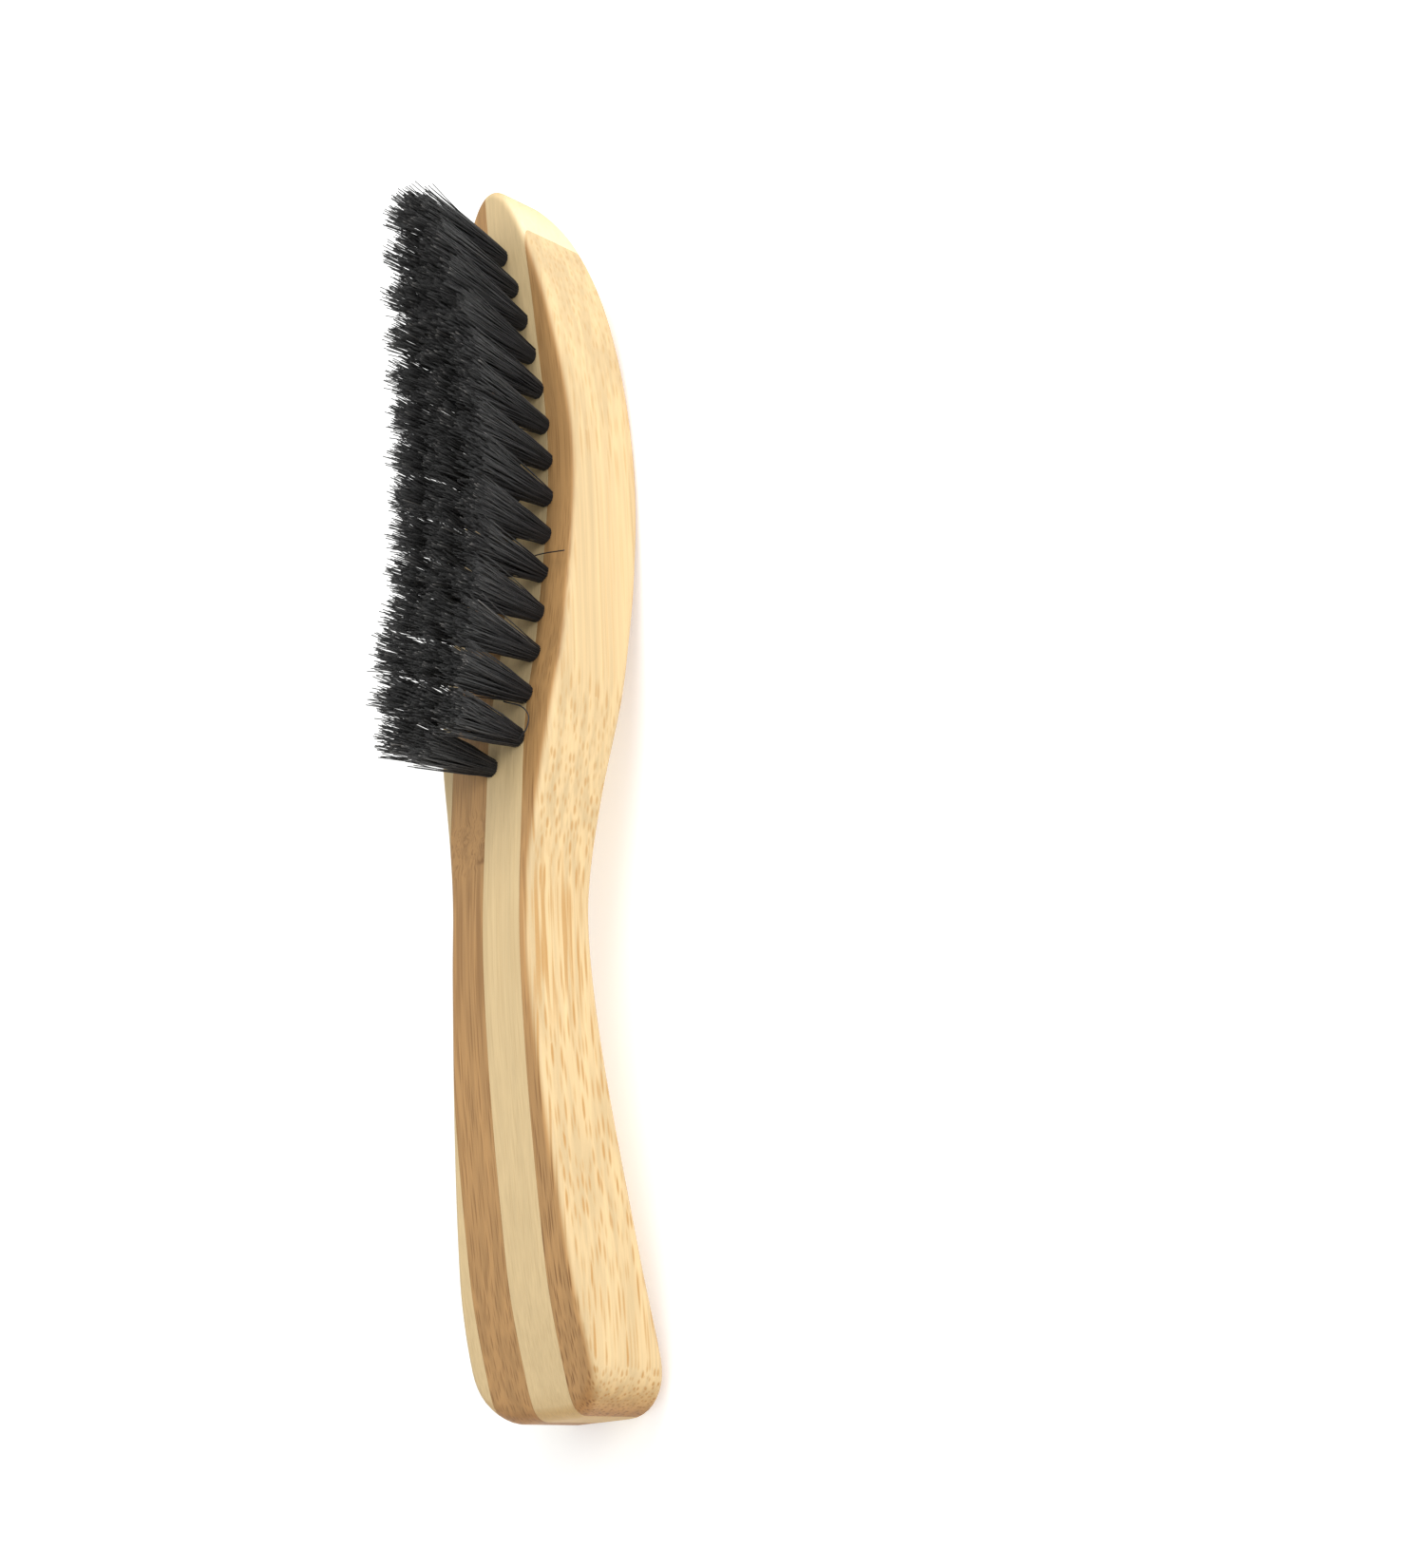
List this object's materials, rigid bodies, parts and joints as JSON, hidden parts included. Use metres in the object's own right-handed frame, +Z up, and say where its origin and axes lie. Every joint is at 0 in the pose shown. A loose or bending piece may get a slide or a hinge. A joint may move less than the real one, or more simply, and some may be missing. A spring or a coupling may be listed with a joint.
{
  "type": "beard brush",
  "caption": "Curved bamboo beard brush of glued pale and dark strips, with a concave head of black bristle tufts in staggered rows and a flared handle.",
  "frame": {"origin": "bottom centre of the brush's bounding box, with the brush lying on its back and the bristles up", "axes": "+X from the handle's butt to the head's tip, +Y to the left, +Z up, the way the bristles point"},
  "size_m": [0.185, 0.0258, 0.0341],
  "materials": {
    "pale_bamboo": "pale laminated bamboo, sanded, satin",
    "dark_bamboo": "caramelised laminated bamboo, sanded, satin",
    "black_bristle": "black bristle bundles, slightly glossy fibres"
  },
  "bodies": {
    "root": {"outer_strip_dark": "dark_bamboo", "inner_strip_pale": "pale_bamboo", "inner_strip_dark": "dark_bamboo", "outer_strip_pale_head": "pale_bamboo", "outer_strip_pale_handle": "pale_bamboo", "tuft_right_01": "black_bristle", "tuft_right_02": "black_bristle", "tuft_right_03": "black_bristle", "tuft_right_04": "black_bristle", "tuft_right_05": "black_bristle", "tuft_right_06": "black_bristle", "tuft_right_07": "black_bristle", "tuft_right_08": "black_bristle", "tuft_right_09": "black_bristle", "tuft_right_10": "black_bristle", "tuft_right_11": "black_bristle", "tuft_right_12": "black_bristle", "tuft_right_13": "black_bristle", "tuft_right_14": "black_bristle", "tuft_left_01": "black_bristle", "tuft_left_02": "black_bristle", "tuft_left_03": "black_bristle", "tuft_left_04": "black_bristle", "tuft_left_05": "black_bristle", "tuft_left_06": "black_bristle", "tuft_left_07": "black_bristle", "tuft_left_08": "black_bristle", "tuft_left_09": "black_bristle", "tuft_left_10": "black_bristle", "tuft_left_11": "black_bristle", "tuft_left_12": "black_bristle", "tuft_left_13": "black_bristle", "tuft_left_14": "black_bristle", "tuft_middle_01": "black_bristle", "tuft_middle_02": "black_bristle", "tuft_middle_03": "black_bristle", "tuft_middle_04": "black_bristle", "tuft_middle_05": "black_bristle", "tuft_middle_06": "black_bristle", "tuft_middle_07": "black_bristle", "tuft_middle_08": "black_bristle", "tuft_middle_09": "black_bristle", "tuft_middle_10": "black_bristle", "tuft_middle_11": "black_bristle", "tuft_middle_12": "black_bristle", "tuft_middle_13": "black_bristle"}
  },
  "joints": []
}
